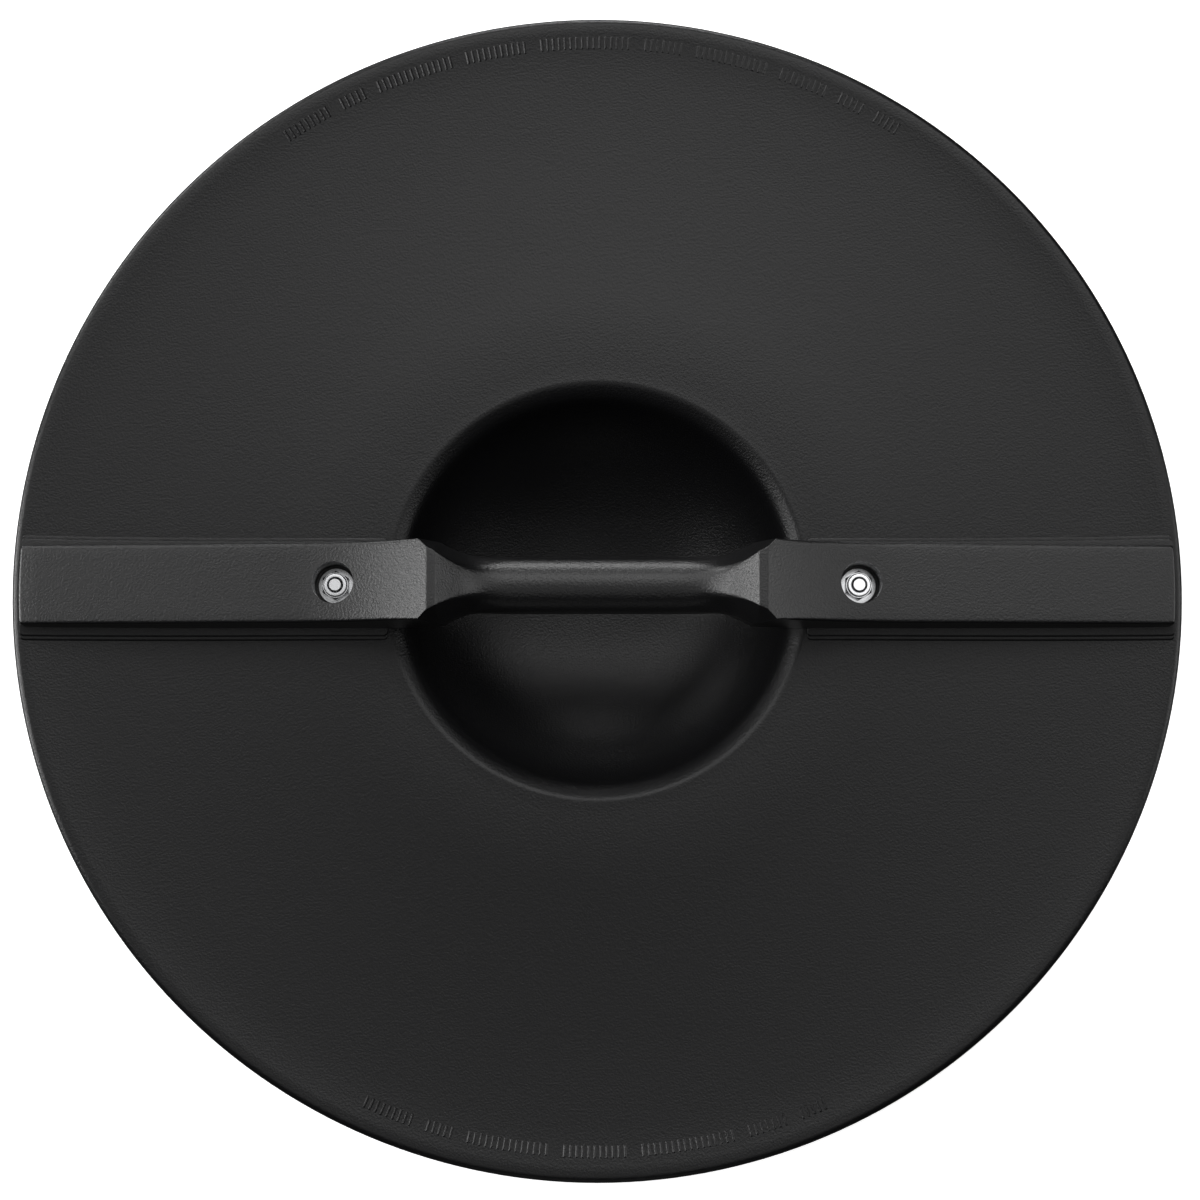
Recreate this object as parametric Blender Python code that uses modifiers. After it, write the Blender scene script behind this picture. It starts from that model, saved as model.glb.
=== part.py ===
"""Training targe: a round moulded shield with a hollow boss, lying with its back upwards.

A black polypropylene disc is dished towards its back and swells into a hollow boss at its centre.
A moulded bar crosses the back from rim to rim, with a round grip over the boss, and two bolts with
washers and lock nuts hold it on. Metres, +Z towards the shield's back, +X along the bar. The origin
is at the centre of the small flat on the boss, which the shield rests on.
"""

import math

import bmesh
import bpy

MM = 0.001

# Disc: one moulded shell of even wall
DISC_RADIUS = 254 * MM
DISC_WALL = 6.4 * MM
BOWL_DEPTH = 58 * MM
BOWL_LIP_RADIUS = 92.6 * MM
BOWL_LIP_ROUNDING = 11 * MM
BOWL_WALL_ANGLE = math.radians(75)
BOSS_FLAT_RADIUS = 20 * MM

# The dish outside the bowl's lip: the lip runs out to a level shoulder that falls a little, and from
# there the back rises ever more steeply to the rim. Each has the angle at which it rises outwards.
LIP_SLOPE = math.radians(9.5)
LIP_RUNOUT_WIDTH = 7.4 * MM
LIP_RUNOUT_SLOPE = math.radians(1.4)
SHOULDER_WIDTH = 37.4 * MM
SHOULDER_SLOPE = math.radians(-1.2)
RISE_WIDTH = 60 * MM
RISE_SLOPE = math.radians(2.6)
CURL_WIDTH = 24 * MM
CURL_START_SLOPE = math.radians(6.2)
CURL_END_SLOPE = math.radians(12)

# Bar: two arms that thicken inwards, a crest at each inner end, and a round grip between them
ARM_RIM_MARGIN = 5.7 * MM
ARM_THICKNESS_AT_RIM = 9 * MM
ARM_BASE_WIDTH = 35 * MM
ARM_SIDE_DRAFT = 1.2 * MM
ARM_TOP_SLOPE = math.radians(3.5)
ARM_SWEEP_LENGTH = 62.1 * MM
ARM_SWEEP_RADIUS = 140 * MM
CREST_DISTANCE = 71.5 * MM
CREST_LAND = 3.5 * MM
CREST_NARROWING = 1.7 * MM
CORNER_CUT = 3.8 * MM
CORNER_DROP = 22 * MM
NOSE_SLOPE = math.radians(45)
NOSE_FALL_LENGTH = 10.2 * MM
NOSE_SIDE_SETBACK = 1.3 * MM
NOSE_BASE_INSET = 0.9 * MM
NOSE_FLARE_RADIUS = 36 * MM
NOSE_RIDGE_WIDTH = 13 * MM
NOSE_RIDGE_END_WIDTH = 9 * MM
GRIP_RADIUS = 12.2 * MM
GRIP_DROP = 5.5 * MM

# Pads: a raised strip with two steps on each side of the boss, under the bar
PAD_STEP = 1.2 * MM
PAD_STEP_WIDTH = 1.7 * MM
PAD_LIP_OVERHANG = 1.3 * MM
PAD_RIM_MARGIN = 4.4 * MM
PAD_MARGIN_AT_RIM = 5.5 * MM
PAD_MARGIN_AT_BOSS = 4.95 * MM
PAD_ROOT = 3 * MM

# Fasteners: a domed bolt from the front, a washer and a lock nut in each arm's counterbore
BOLT_OFFSET = 112.5 * MM
BOLT_RADIUS = 3.1 * MM
BOLT_HOLE_CLEARANCE = 0.5 * MM
BOLT_HEAD_FLANGE = 4.9 * MM
BOLT_HEAD_HEIGHT = 4 * MM
BOLT_END_OVER_NUT = 0.7 * MM
BOLT_END_CHAMFER = 0.6 * MM
BOLT_SEAT_MARGIN = 4 * MM
BOLT_SEAT_HEIGHT = 2 * MM
NUT_WALL = 2.4 * MM
NUT_HEX_HEIGHT = 3.7 * MM
NUT_COLLAR_INSET = 0.5 * MM
NUT_COLLAR_HEIGHT = 1.8 * MM
NUT_COLLAR_ROUNDING = 0.7 * MM
WASHER_MARGIN = 1.65 * MM
WASHER_THICKNESS = 1.6 * MM
WASHER_EDGE = 0.3 * MM
WASHER_TOP_DEPTH = 16.5 * MM
COUNTERBORE_CLEARANCE = 1 * MM
CUTTER_MARGIN = 5 * MM
FIT_GAP = 0.3 * MM

# Radii and distances from the shield's centre that follow from those
LIP_RUNOUT_RADIUS = BOWL_LIP_RADIUS + LIP_RUNOUT_WIDTH
SHOULDER_RADIUS = BOWL_LIP_RADIUS + SHOULDER_WIDTH
RISE_RADIUS = SHOULDER_RADIUS + RISE_WIDTH
CURL_RADIUS = DISC_RADIUS - CURL_WIDTH
RIM_ROUNDING = DISC_WALL / 2
RIM_RADIUS = DISC_RADIUS - RIM_ROUNDING
ARM_END = DISC_RADIUS - ARM_RIM_MARGIN
ARM_SWEEP_START = CREST_DISTANCE + ARM_SWEEP_LENGTH
CORNER_START = CREST_DISTANCE + CORNER_CUT
LAND_END = CREST_DISTANCE - CREST_LAND
NOSE_SIDE_END = LAND_END - NOSE_SIDE_SETBACK
NOSE_SWEEP_START = LAND_END - NOSE_FALL_LENGTH
PAD_INNER_END = BOWL_LIP_RADIUS - PAD_LIP_OVERHANG
PAD_OUTER_END = DISC_RADIUS - PAD_RIM_MARGIN
NUT_APOTHEM = BOLT_RADIUS + NUT_WALL
NUT_CORNER_RADIUS = NUT_APOTHEM / math.cos(math.pi / 6)
NUT_COLLAR_RADIUS = NUT_APOTHEM - NUT_COLLAR_INSET
WASHER_RADIUS = NUT_CORNER_RADIUS + WASHER_MARGIN
COUNTERBORE_RADIUS = WASHER_RADIUS + COUNTERBORE_CLEARANCE
BOLT_HOLE_RADIUS = BOLT_RADIUS + BOLT_HOLE_CLEARANCE
BOLT_HEAD_RADIUS = BOLT_RADIUS + BOLT_HEAD_FLANGE
BOLT_SEAT_RADIUS = BOLT_HEAD_RADIUS + BOLT_SEAT_MARGIN
SIDES = {"left": -1, "right": 1}

# How finely round shapes are divided
TURN_STEPS = 72
FASTENER_STEPS = 24
HOLE_STEPS = 16
BOWL_POINTS = 7
LIP_POINTS = 4
RIM_POINTS = 5
DOME_POINTS = 4
SWEEP_POINTS = 5
SECTION_STEPS = 24
HEIGHT_STEPS = 64
SHARP_ANGLE = math.radians(35)


def clear_scene():
    for obj in list(bpy.data.objects):
        bpy.data.objects.remove(obj, do_unlink=True)


def make_collection(name):
    collection = bpy.data.collections.new(name)
    bpy.context.scene.collection.children.link(collection)
    return collection


def make_material(name, colour, roughness, metallic):
    material = bpy.data.materials.new(name)
    material.use_nodes = True
    shader = material.node_tree.nodes["Principled BSDF"]
    shader.inputs["Base Color"].default_value = (*colour, 1)
    shader.inputs["Roughness"].default_value = roughness
    shader.inputs["Metallic"].default_value = metallic
    return material


def make_part(name, mesh, collection, material):
    obj = bpy.data.objects.new(name, mesh)
    collection.objects.link(obj)
    mesh.materials.append(material)
    return obj


def make_cutter(name, mesh, collection, x=0):
    """A helper that a Boolean joins to a part or cuts out of it, and that isn't a part itself."""
    cutter = bpy.data.objects.new(name, mesh)
    collection.objects.link(cutter)
    cutter.location.x = x
    cutter.hide_render = True
    cutter.display_type = "WIRE"
    return cutter


def add_boolean(obj, other, operation):
    modifier = obj.modifiers.new(other.name, "BOOLEAN")
    modifier.operation = operation
    modifier.solver = "EXACT"
    modifier.object = other


def profile_mesh(name, profile):
    """An open outline of (radius, height) points, which run down a turned piece's outer side."""
    mesh = bpy.data.meshes.new(name)
    edges = [(i, i + 1) for i in range(len(profile) - 1)]
    mesh.from_pydata([(radius, 0, height) for radius, height in profile], edges, [])
    return mesh


def turn(obj, steps):
    screw = obj.modifiers.new("Turn", "SCREW")
    screw.axis = "Z"
    screw.angle = math.tau
    screw.steps = steps
    screw.render_steps = steps
    screw.use_merge_vertices = True
    screw.merge_threshold = 0.00001
    screw.use_smooth_shade = True


def loft_mesh(name, sections):
    """A closed skin over a row of sections with as many points each, capped at both ends."""
    mesh = bpy.data.meshes.new(name)
    skin = bmesh.new()
    rings = [[skin.verts.new(point) for point in section] for section in sections]
    count = len(rings[0])
    for ring, following in zip(rings, rings[1:]):
        for i in range(count):
            j = (i + 1) % count
            skin.faces.new((ring[i], ring[j], following[j], following[i]))
    skin.faces.new(rings[0])
    skin.faces.new(rings[-1])
    bmesh.ops.recalc_face_normals(skin, faces=skin.faces)
    skin.to_mesh(mesh)
    skin.free()
    mesh.shade_smooth()
    mesh.set_sharp_from_angle(angle=SHARP_ANGLE)
    return mesh


def cylinder_mesh(name, radius, bottom, top, steps):
    mesh = bpy.data.meshes.new(name)
    solid = bmesh.new()
    bmesh.ops.create_cone(
        solid, cap_ends=True, segments=steps, radius1=radius, radius2=radius, depth=top - bottom
    )
    bmesh.ops.translate(solid, verts=solid.verts, vec=(0, 0, (top + bottom) / 2))
    solid.to_mesh(mesh)
    solid.free()
    return mesh


def share_between(value, start, end):
    return min(max((value - start) / (end - start), 0), 1)


def value_along(stations, position):
    """The value at a position in a list of (position, value) stations, changing evenly between them."""
    for (start, value), (end, next_value) in zip(stations, stations[1:]):
        if position <= end:
            return value + (next_value - value) * share_between(position, start, end)
    return stations[-1][1]


# Section of the bowl, an ellipse that meets the lip's rounding at the bowl's wall angle
LIP_CENTRE_RADIUS = BOWL_LIP_RADIUS + BOWL_LIP_ROUNDING * math.sin(LIP_SLOPE)
BOWL_WALL_RADIUS = LIP_CENTRE_RADIUS - BOWL_LIP_ROUNDING * math.sin(BOWL_WALL_ANGLE)
LIP_DROP = BOWL_LIP_ROUNDING * (math.cos(LIP_SLOPE) - math.cos(BOWL_WALL_ANGLE))


def bowl_ellipse():
    """Half axes of the bowl's section, and the angle round it at which the lip's rounding starts."""
    share = (BOWL_DEPTH - LIP_DROP) / (BOWL_WALL_RADIUS * math.tan(BOWL_WALL_ANGLE))
    end_angle = math.acos(share / (1 - share))
    half_width = BOWL_WALL_RADIUS / math.sin(end_angle)
    half_depth = half_width * math.tan(BOWL_WALL_ANGLE) / math.tan(end_angle)
    return half_width, half_depth, end_angle


def bowl_point(angle, wall, floor):
    """A point of the bowl's section at an angle round it, taken out across the wall."""
    half_width, half_depth, _ = bowl_ellipse()
    slope = math.atan2(half_depth * math.sin(angle), half_width * math.cos(angle))
    radius = half_width * math.sin(angle) + wall * math.sin(slope)
    return radius, floor + half_depth * (1 - math.cos(angle)) - wall * math.cos(slope)


def boss_flat_angle():
    """Angle round the bowl's section at which the boss's outside reaches the edge of its flat."""
    low, high = 0.0, math.pi / 4
    while high - low > 1e-9:
        middle = (low + high) / 2
        if bowl_point(middle, DISC_WALL, 0)[0] < BOSS_FLAT_RADIUS:
            low = middle
        else:
            high = middle
    return high


# The boss's flat is at height zero, which sets the height of the bowl's floor and lip
BOWL_FLOOR = -bowl_point(boss_flat_angle(), DISC_WALL, 0)[1]
LIP_HEIGHT = BOWL_FLOOR + BOWL_DEPTH
LIP_CENTRE_HEIGHT = LIP_HEIGHT - BOWL_LIP_ROUNDING * math.cos(LIP_SLOPE)

DISH_SLOPES = (
    (BOWL_LIP_RADIUS, LIP_SLOPE),
    (LIP_RUNOUT_RADIUS, LIP_RUNOUT_SLOPE),
    (SHOULDER_RADIUS, SHOULDER_SLOPE),
    (RISE_RADIUS, RISE_SLOPE),
    (CURL_RADIUS, CURL_START_SLOPE),
    (RIM_RADIUS, CURL_END_SLOPE),
)


def dish_height(radius):
    """Height of the disc's back at a radius from the bowl's lip outwards."""
    step = (radius - BOWL_LIP_RADIUS) / HEIGHT_STEPS
    middles = [BOWL_LIP_RADIUS + step * (i + 0.5) for i in range(HEIGHT_STEPS)]
    return LIP_HEIGHT + sum(math.tan(value_along(DISH_SLOPES, middle)) * step for middle in middles)


def dish_point(radius, wall):
    slope = value_along(DISH_SLOPES, radius)
    return radius + wall * math.sin(slope), dish_height(radius) - wall * math.cos(slope)


def lip_point(slope, wall):
    rounding = BOWL_LIP_ROUNDING - wall
    return (
        LIP_CENTRE_RADIUS - rounding * math.sin(slope),
        LIP_CENTRE_HEIGHT + rounding * math.cos(slope),
    )


def disc_profile():
    """Section of the shell: along its back from the bowl's floor to the rim, and home along its front."""
    _, _, wall_angle = bowl_ellipse()
    bowl_angles = [wall_angle * i / BOWL_POINTS for i in range(BOWL_POINTS + 1)]
    lip_turn = BOWL_WALL_ANGLE - LIP_SLOPE
    lip_slopes = [BOWL_WALL_ANGLE - lip_turn * i / LIP_POINTS for i in range(1, LIP_POINTS)]
    dish_radii = [radius for radius, slope in DISH_SLOPES]

    back = [bowl_point(angle, 0, BOWL_FLOOR) for angle in bowl_angles]
    back += [lip_point(slope, 0) for slope in lip_slopes]
    back += [dish_point(radius, 0) for radius in dish_radii]

    rim_height = dish_height(RIM_RADIUS) - RIM_ROUNDING
    rim = []
    for i in range(1, RIM_POINTS + 1):
        angle = math.pi * i / (RIM_POINTS + 1)
        across, up = RIM_ROUNDING * math.sin(angle), RIM_ROUNDING * math.cos(angle)
        rim.append((RIM_RADIUS + across, rim_height + up))

    front = [dish_point(radius, DISC_WALL) for radius in reversed(dish_radii[:-1])]
    front += [lip_point(slope, DISC_WALL) for slope in reversed(lip_slopes)]
    outside = [angle for angle in bowl_angles if angle > boss_flat_angle()]
    front += [bowl_point(angle, DISC_WALL, BOWL_FLOOR) for angle in reversed(outside)]
    front += [(BOSS_FLAT_RADIUS, 0), (0, 0)]
    return back + rim + front


# Heights along the bar, by distance from the shield's centre
def arm_base(distance):
    return dish_height(max(distance, PAD_INNER_END)) + 2 * PAD_STEP + FIT_GAP


ARM_END_TOP = arm_base(PAD_OUTER_END) + ARM_THICKNESS_AT_RIM
SWEEP_START_TOP = ARM_END_TOP + (ARM_END - ARM_SWEEP_START) * math.tan(ARM_TOP_SLOPE)


def arm_top(distance):
    """An even rise from the rim, then a sweep that steepens up to the crest."""
    if distance >= ARM_SWEEP_START:
        return ARM_END_TOP + (ARM_END - distance) * math.tan(ARM_TOP_SLOPE)
    sine = math.sin(ARM_TOP_SLOPE) + (ARM_SWEEP_START - distance) / ARM_SWEEP_RADIUS
    rise = ARM_SWEEP_RADIUS * (math.cos(ARM_TOP_SLOPE) - math.sqrt(1 - sine * sine))
    return SWEEP_START_TOP + rise


CREST_TOP = arm_top(CREST_DISTANCE)
GRIP_AXIS = ARM_END_TOP - GRIP_DROP
GRIP_TOP = GRIP_AXIS + GRIP_RADIUS
NOSE_SWEEP_TOP = CREST_TOP - NOSE_FALL_LENGTH * math.tan(NOSE_SLOPE)
NOSE_SWEEP_RADIUS = (NOSE_SWEEP_TOP - GRIP_TOP) / (1 - math.cos(NOSE_SLOPE))
GRIP_END = NOSE_SWEEP_START - NOSE_SWEEP_RADIUS * math.sin(NOSE_SLOPE)
WASHER_TOP = arm_top(BOLT_OFFSET) - WASHER_TOP_DEPTH
NUT_BASE = WASHER_TOP + FIT_GAP
NUT_HEX_TOP = NUT_BASE + NUT_HEX_HEIGHT
NUT_TOP = NUT_HEX_TOP + NUT_COLLAR_HEIGHT
BOLT_SEAT_FACE = dish_height(BOLT_OFFSET) - DISC_WALL - BOLT_SEAT_HEIGHT


def bar_top(distance):
    """Top of the bar: the arm, the crest's level land, the nose's fall and sweep, and the grip."""
    if distance >= CREST_DISTANCE:
        return arm_top(distance)
    if distance >= LAND_END:
        return CREST_TOP
    if distance >= NOSE_SWEEP_START:
        return CREST_TOP - (LAND_END - distance) * math.tan(NOSE_SLOPE)
    along = max(distance - GRIP_END, 0)
    return GRIP_TOP + NOSE_SWEEP_RADIUS - math.sqrt(NOSE_SWEEP_RADIUS**2 - along**2)


def bar_base(distance):
    """Underside of the bar, level over the bowl and rising a little to the grip's own underside."""
    grip_base = GRIP_AXIS - GRIP_RADIUS
    return grip_base + (arm_base(distance) - grip_base) * share_between(distance, GRIP_END, NOSE_SIDE_END)


def bar_half_width(distance):
    """Half the bar's greatest width: the arm's, then a hollow flare down to the grip."""
    if distance >= NOSE_SIDE_END:
        return ARM_BASE_WIDTH / 2
    rise = ARM_BASE_WIDTH / 2 - GRIP_RADIUS
    flare_length = math.sqrt(NOSE_FLARE_RADIUS**2 - (NOSE_FLARE_RADIUS - rise) ** 2)
    along = max(distance - (NOSE_SIDE_END - flare_length), 0)
    return GRIP_RADIUS + NOSE_FLARE_RADIUS - math.sqrt(NOSE_FLARE_RADIUS**2 - along**2)


def ridge_half_width(distance):
    """Half the width of the bar's flat top: the arm's, cut at the crest, then narrowing to the grip."""
    arm_half_width = ARM_BASE_WIDTH / 2 - ARM_SIDE_DRAFT
    crest_half_width = arm_half_width - CORNER_CUT
    widths = (
        (GRIP_END, NOSE_RIDGE_END_WIDTH / 2),
        (NOSE_SWEEP_START, NOSE_RIDGE_WIDTH / 2),
        (LAND_END, crest_half_width - CREST_NARROWING),
        (CREST_DISTANCE, crest_half_width),
        (CORNER_START, arm_half_width),
    )
    return value_along(widths, distance)


def knee_height(distance):
    """Height of the line along the bar's side that the crest's cut corners run down to."""
    heights = [(GRIP_END, GRIP_AXIS)]
    heights.append((NOSE_SIDE_END, CREST_TOP - CORNER_DROP))
    heights.append((CORNER_START, arm_top(CORNER_START)))
    heights += [(end, (arm_top(end) + arm_base(end)) / 2) for end in (PAD_INNER_END, ARM_END)]
    return value_along(heights, distance)


def bar_section(x):
    """Section of the bar at x, as points from its top round by +Y to its underside and back."""
    distance = abs(x)
    top, base, width = bar_top(distance), bar_base(distance), bar_half_width(distance)
    knee = (knee_height(distance) - base) / (top - base)
    # The arm's side leans in towards its top, and stands upright where the nose begins
    lean = ARM_SIDE_DRAFT * knee * share_between(distance, NOSE_SIDE_END, CORNER_START)
    base_inset = NOSE_BASE_INSET * (1 - share_between(distance, NOSE_SIDE_END, PAD_INNER_END))
    half, quarter = SECTION_STEPS // 2, SECTION_STEPS // 8
    middle = half // 2
    corners = (
        (0, (0, 1)),
        (quarter, (ridge_half_width(distance) / width, 1)),
        (middle, (1 - lean / width, knee)),
        (half - quarter, (1 - base_inset / width, 0)),
        (half, (0, 0)),
    )
    round_share = 1 - share_between(distance, GRIP_END, NOSE_SIDE_END)
    roundness = round_share * round_share * (3 - 2 * round_share)
    outline = []
    for i in range(half + 1):
        angle = math.pi / 2 - math.pi * i / half
        across = value_along([(n, corner[0]) for n, corner in corners], i)
        up = value_along([(n, corner[1]) for n, corner in corners], i)
        across += (math.cos(angle) - across) * roundness
        up += ((1 + math.sin(angle)) / 2 - up) * roundness
        outline.append((across * width, base + (top - base) * up))
    outline += [(-across, height) for across, height in reversed(outline[1:-1])]
    if distance < ARM_END:
        return [(x, across, height) for across, height in outline]
    # Each end of the bar follows the rim's curve
    return [(math.copysign(math.sqrt(x * x - y * y), x), y, height) for y, height in outline]


def bar_stations():
    """Distances along X at which the bar is given a section, from one end to the other."""

    def spread(start, end, count):
        return [start + (end - start) * i / count for i in range(count)]

    half = spread(GRIP_END, NOSE_SWEEP_START, SWEEP_POINTS)
    half += spread(NOSE_SWEEP_START, NOSE_SIDE_END, 2)
    half += [NOSE_SIDE_END, LAND_END, CREST_DISTANCE]
    half += [CORNER_START - CORNER_CUT / 8, CORNER_START + CORNER_CUT / 8]
    half += spread(PAD_INNER_END, ARM_SWEEP_START, SWEEP_POINTS)
    half += [ARM_SWEEP_START, RISE_RADIUS, CURL_RADIUS, ARM_END]
    return [-distance for distance in reversed(half)] + half


def make_disc(parts, cutters, material):
    disc = make_part("shield_disc", profile_mesh("shield_disc", disc_profile()), parts, material)
    turn(disc, TURN_STEPS)
    seat_mesh = cylinder_mesh(
        "bolt_seat", BOLT_SEAT_RADIUS, BOLT_SEAT_FACE, dish_height(BOLT_OFFSET) - PAD_ROOT, FASTENER_STEPS
    )
    for side, sign in SIDES.items():
        for step in (1, 2):
            pad = make_cutter(f"pad_step_{step}_{side}", pad_step_mesh(sign, step), cutters)
            add_boolean(disc, pad, "UNION")
        seat = make_cutter(f"bolt_seat_{side}", seat_mesh, cutters, sign * BOLT_OFFSET)
        hole = make_cutter(f"disc_hole_{side}", bolt_hole_mesh(), cutters, sign * BOLT_OFFSET)
        add_boolean(disc, seat, "UNION")
        add_boolean(disc, hole, "DIFFERENCE")


def pad_step_mesh(sign, step):
    """One step of a pad: a low strip rooted in the disc's wall, whose top follows the dish."""
    between = [radius for radius, slope in DISH_SLOPES[1:-1]]
    sections = []
    for distance in [PAD_INNER_END] + between + [PAD_OUTER_END]:
        share = share_between(distance, PAD_INNER_END, PAD_OUTER_END)
        margin = PAD_MARGIN_AT_BOSS + (PAD_MARGIN_AT_RIM - PAD_MARGIN_AT_BOSS) * share
        across = ARM_BASE_WIDTH / 2 + margin - (step - 1) * PAD_STEP_WIDTH
        top = dish_height(distance) + step * PAD_STEP
        root = dish_height(distance) - PAD_ROOT
        x = sign * distance
        sections.append([(x, -across, root), (x, across, root), (x, across, top), (x, -across, top)])
    return loft_mesh("pad_step", sections)


def bolt_hole_mesh():
    bottom, top = BOLT_SEAT_FACE - CUTTER_MARGIN, arm_top(BOLT_OFFSET) + CUTTER_MARGIN
    return cylinder_mesh("bolt_hole", BOLT_HOLE_RADIUS, bottom, top, HOLE_STEPS)


def make_bar(parts, cutters, material):
    mesh = loft_mesh("handle_bar", [bar_section(x) for x in bar_stations()])
    bar = make_part("handle_bar", mesh, parts, material)
    seat = WASHER_TOP - WASHER_THICKNESS - FIT_GAP
    bore_top = arm_top(BOLT_OFFSET) + CUTTER_MARGIN
    bore_mesh = cylinder_mesh("counterbore", COUNTERBORE_RADIUS, seat, bore_top, FASTENER_STEPS)
    for side, sign in SIDES.items():
        bore = make_cutter(f"counterbore_{side}", bore_mesh, cutters, sign * BOLT_OFFSET)
        hole = make_cutter(f"bar_hole_{side}", bolt_hole_mesh(), cutters, sign * BOLT_OFFSET)
        add_boolean(bar, bore, "DIFFERENCE")
        add_boolean(bar, hole, "DIFFERENCE")


def bolt_profile():
    """A shank up through the bar and the nut, and a domed head below the disc's front."""
    end = NUT_TOP + BOLT_END_OVER_NUT
    under_head = BOLT_SEAT_FACE - FIT_GAP
    dome_radius = (BOLT_HEAD_RADIUS**2 + BOLT_HEAD_HEIGHT**2) / (2 * BOLT_HEAD_HEIGHT)
    dome_centre = under_head - BOLT_HEAD_HEIGHT + dome_radius
    profile = [(0, end), (BOLT_RADIUS - BOLT_END_CHAMFER, end), (BOLT_RADIUS, end - BOLT_END_CHAMFER)]
    profile.append((BOLT_RADIUS, under_head))
    for i in range(DOME_POINTS):
        angle = math.asin(BOLT_HEAD_RADIUS / dome_radius) * (1 - i / DOME_POINTS)
        profile.append((dome_radius * math.sin(angle), dome_centre - dome_radius * math.cos(angle)))
    profile.append((0, under_head - BOLT_HEAD_HEIGHT))
    return profile


def washer_profile():
    base = WASHER_TOP - WASHER_THICKNESS
    return [
        (BOLT_HOLE_RADIUS, WASHER_TOP),
        (WASHER_RADIUS - WASHER_EDGE, WASHER_TOP),
        (WASHER_RADIUS, WASHER_TOP - WASHER_EDGE),
        (WASHER_RADIUS, base + WASHER_EDGE),
        (WASHER_RADIUS - WASHER_EDGE, base),
        (BOLT_HOLE_RADIUS, base),
        (BOLT_HOLE_RADIUS, WASHER_TOP),
    ]


def nut_collar_profile():
    root = (NUT_BASE + NUT_HEX_TOP) / 2
    return [
        (0, NUT_TOP),
        (NUT_COLLAR_RADIUS - NUT_COLLAR_ROUNDING, NUT_TOP),
        (NUT_COLLAR_RADIUS, NUT_TOP - NUT_COLLAR_ROUNDING),
        (NUT_COLLAR_RADIUS, root),
        (0, root),
    ]


def make_fasteners(parts, cutters, steel):
    bolt_mesh = profile_mesh("bolt", bolt_profile())
    washer_mesh = profile_mesh("washer", washer_profile())
    nut_mesh = cylinder_mesh("lock_nut", NUT_CORNER_RADIUS, NUT_BASE, NUT_HEX_TOP, 6)
    collar_mesh = profile_mesh("nut_collar", nut_collar_profile())
    hole_bottom, hole_top = NUT_BASE - CUTTER_MARGIN, NUT_TOP + CUTTER_MARGIN
    thread_mesh = cylinder_mesh("thread_hole", BOLT_RADIUS + FIT_GAP, hole_bottom, hole_top, FASTENER_STEPS)
    for side, sign in SIDES.items():
        x = sign * BOLT_OFFSET
        for name, mesh in (("bolt", bolt_mesh), ("washer", washer_mesh)):
            piece = make_part(f"{name}_{side}", mesh, parts, steel)
            piece.location.x = x
            turn(piece, FASTENER_STEPS)
        nut = make_part(f"lock_nut_{side}", nut_mesh, parts, steel)
        nut.location.x = x
        collar = make_cutter(f"nut_collar_{side}", collar_mesh, cutters, x)
        turn(collar, FASTENER_STEPS)
        add_boolean(nut, collar, "UNION")
        add_boolean(nut, make_cutter(f"thread_hole_{side}", thread_mesh, cutters, x), "DIFFERENCE")


clear_scene()
targe_parts = make_collection("training_targe")
targe_cutters = make_collection("training_targe_cutters")
disc_plastic = make_material("black polypropylene, fine texture", (0.018, 0.018, 0.019), 0.55, 0)
bar_plastic = make_material("black polypropylene, satin", (0.022, 0.022, 0.023), 0.45, 0)
plated_steel = make_material("zinc-plated steel", (0.72, 0.72, 0.74), 0.25, 1)
make_disc(targe_parts, targe_cutters, disc_plastic)
make_bar(targe_parts, targe_cutters, bar_plastic)
make_fasteners(targe_parts, targe_cutters, plated_steel)
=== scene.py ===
"""A moulded training targe lying on its boss, its back and the bar across it towards the camera.

Metres, +Z out of the shield's back, +X along the bar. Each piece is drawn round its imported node.
"""

import math

import bmesh
import bpy
from mathutils import Matrix, Vector


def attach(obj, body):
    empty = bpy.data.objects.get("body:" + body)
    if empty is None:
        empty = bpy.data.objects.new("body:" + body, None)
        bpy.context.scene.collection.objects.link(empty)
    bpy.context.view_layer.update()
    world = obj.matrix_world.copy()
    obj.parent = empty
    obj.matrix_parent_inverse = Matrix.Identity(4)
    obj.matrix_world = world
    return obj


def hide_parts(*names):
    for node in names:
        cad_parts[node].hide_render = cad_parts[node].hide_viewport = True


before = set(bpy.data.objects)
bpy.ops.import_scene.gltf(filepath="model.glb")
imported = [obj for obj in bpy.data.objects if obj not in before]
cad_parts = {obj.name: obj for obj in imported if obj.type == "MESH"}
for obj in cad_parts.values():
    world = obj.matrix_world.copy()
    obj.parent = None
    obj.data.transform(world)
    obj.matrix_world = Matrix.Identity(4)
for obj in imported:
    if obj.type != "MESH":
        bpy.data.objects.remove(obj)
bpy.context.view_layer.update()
MM = 0.001


# Shield disc: one injection-moulded polypropylene shell, black right through. Its back is dished,
# with a hollow boss, a rolled rim and two-step pads that the bar lies on. The mould's spark-eroded
# face leaves an even, very fine grain all over.
DISC_RADIUS = 254 * MM
DISC_WALL = 6.4 * MM
BOWL_DEPTH = 58 * MM
LIP_RADIUS = 92.6 * MM
LIP_ROUNDING = 11 * MM
LIP_SLOPE = math.radians(9.5)
BOWL_WALL_ANGLE = math.radians(75)
RIM_ROUNDING = DISC_WALL / 2
# Radii from the lip outwards, and how steeply the back rises there
DISH_SLOPES = (
    (LIP_RADIUS, LIP_SLOPE),
    (100 * MM, math.radians(1.4)),
    (130 * MM, math.radians(-1.2)),
    (190 * MM, math.radians(2.6)),
    (230 * MM, math.radians(6.2)),
    (DISC_RADIUS - RIM_ROUNDING, math.radians(12)),
)
DISC_TURN_STEPS = 240
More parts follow.
